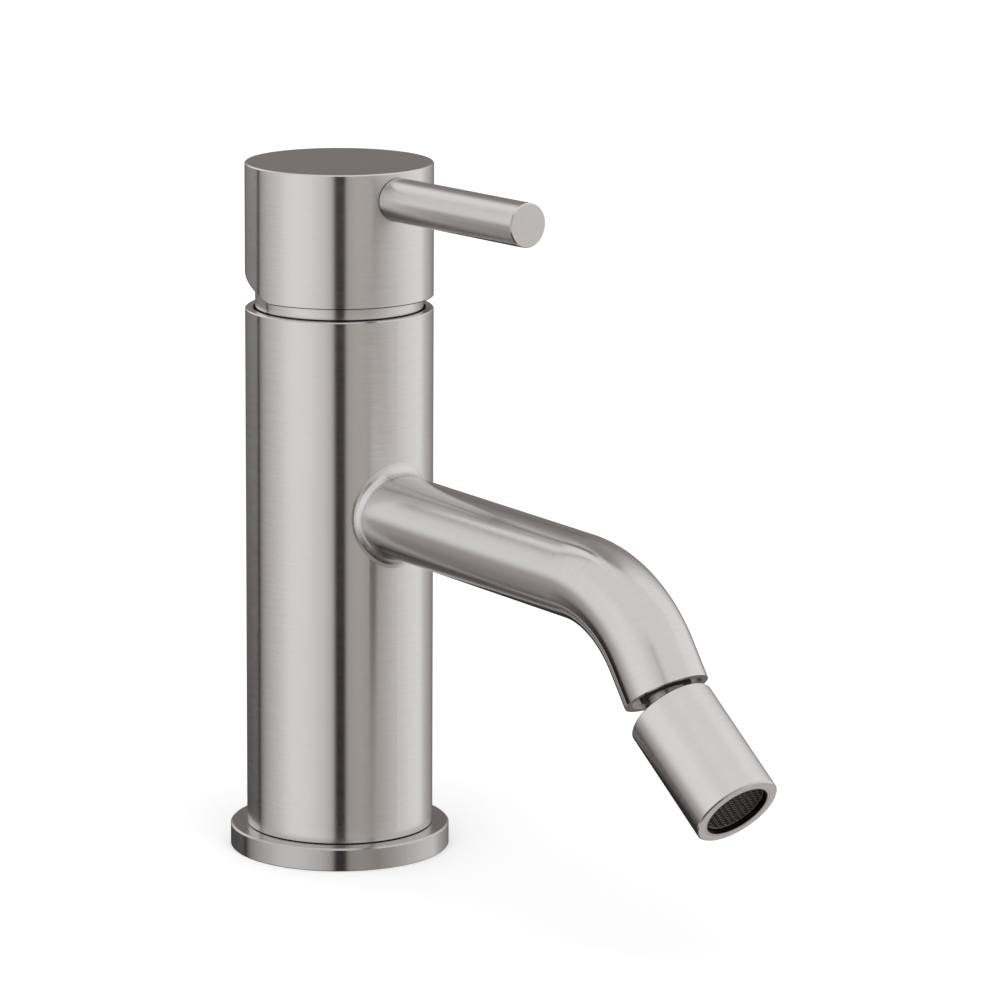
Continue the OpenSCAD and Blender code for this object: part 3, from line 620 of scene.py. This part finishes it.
UP = Vector((0, 0, 1))
ORIGIN = Vector((0, 0, 0))
# Breadth of the painted-shade lines at the seams, and the radius inside which the nozzle's mouth is
# painted dark as shade in its recess
SEAM = 0.00028
MOUTH_SHADE_RADIUS = 0.0078


def seam(way, level, start=1.0, end=0.4):
    """Line of painted shade at a level: it starts and ends so many breadths past it."""
    return (way, level + SEAM * start, level + SEAM * end)


make_camera()
make_world()
make_lamp_and_floor()

# The seams below are painted shade in the colour: at the column's foot on the flange, at the rim
# under the neck ring, at the cap's lower edge and round the lever's root
dress(
    turned_steel("column_steel", UP, ORIGIN, seam_shades=[seam(UP, flange_top)]),
    "column_shell",
)
# Painted shade: the flange is a darker copy of the column's steel, for the shaded floor it mirrors
# close by
dress(turned_steel("flange_steel", UP, ORIGIN, tone=0.78), "base_flange")
dress(
    turned_steel("ring_steel", UP, ORIGIN, seam_shades=[seam(UP, rim_z, 1.4, 0.6)]),
    "neck_ring",
)
dress(
    turned_steel("cap_steel", UP, ORIGIN, seam_shades=[seam(UP, cap_z)]),
    "handle_cap",
)
dress(
    turned_steel(
        "lever_steel",
        front(1, 0),
        front(0, lever_z),
        seam_shades=[seam("out", column_r, 1.2, 0.5)],
    ),
    "lever_pin",
)
dress(spout_steel("spout_steel", tone=0.96), "spout_tube")
dress(
    turned_steel("ball_steel", dipping(SPOUT_DIP), ball_centre, tone=0.95, rough=0.28),
    "swivel_ball",
)
NOZZLE_FINISH = dict(
    axis=dipping(NOZZLE_DIP), centre=ball_centre, tone=1.02, rough=0.20, grain_depth=0.0000015
)
dress(turned_steel("nozzle_steel", **NOZZLE_FINISH), "nozzle_sleeve")
# Painted shade: the aerator body goes dark inside the mouth's radius, for the shade in the nozzle's
# recess
dress(
    turned_steel("mouth_steel", **NOZZLE_FINISH, seam_shades=[seam("radius", MOUTH_SHADE_RADIUS, 0.4, 0.0)]),
    "aerator_body",
)
dress(turned_steel("retainer_steel", dipping(NOZZLE_DIP), ball_centre, tone=0.9), "ball_retainer")
dress(
    plain("dressed_weld", STEEL, 0.30, metal=1.0, grain=1 / 0.0014, depth=0.00003),
    "spout_weld",
)
dress(
    plain("screw_steel", (0.50, 0.49, 0.48), 0.38, metal=1.0),
    "flange_screws", "pivot_pin", "set_screw", "spout_bush",
)
dress(
    plain("cast_brass", (0.70, 0.52, 0.25), 0.36, metal=1.0, depth=0.00004),
    "base_plug", "manifold_core", "clamp_nut", "lever_stem",
)
dress(
    plain("black_rubber", (0.022, 0.022, 0.023), 0.68),
    "base_seal", "manifold_seals", "neck_seal", "port_seals", "stem_washer", "seat_seal",
    "aerator_washer",
)
dress(
    plain("white_acetal", (0.80, 0.79, 0.76), 0.42, spread=0.04),
    "cartridge_base", "cartridge_housing", "ball_liner", "ball_seat",
)
dress(plain("grey_acetal", (0.16, 0.165, 0.175), 0.45), "stem_carrier")
dress(plain("driver_acetal", (0.62, 0.61, 0.58), 0.42, spread=0.05), "disc_driver")
dress(
    plain("ceramic", (0.86, 0.84, 0.79), 0.22, spread=0.02, depth=0.000005),
    "fixed_disc", "moving_disc",
)
dress(plain("aerator_grey", (0.03, 0.03, 0.031), 0.5, spread=0.08), "aerator_core")
make_screen()

scene = bpy.context.scene
scene.view_settings.view_transform = "Standard"
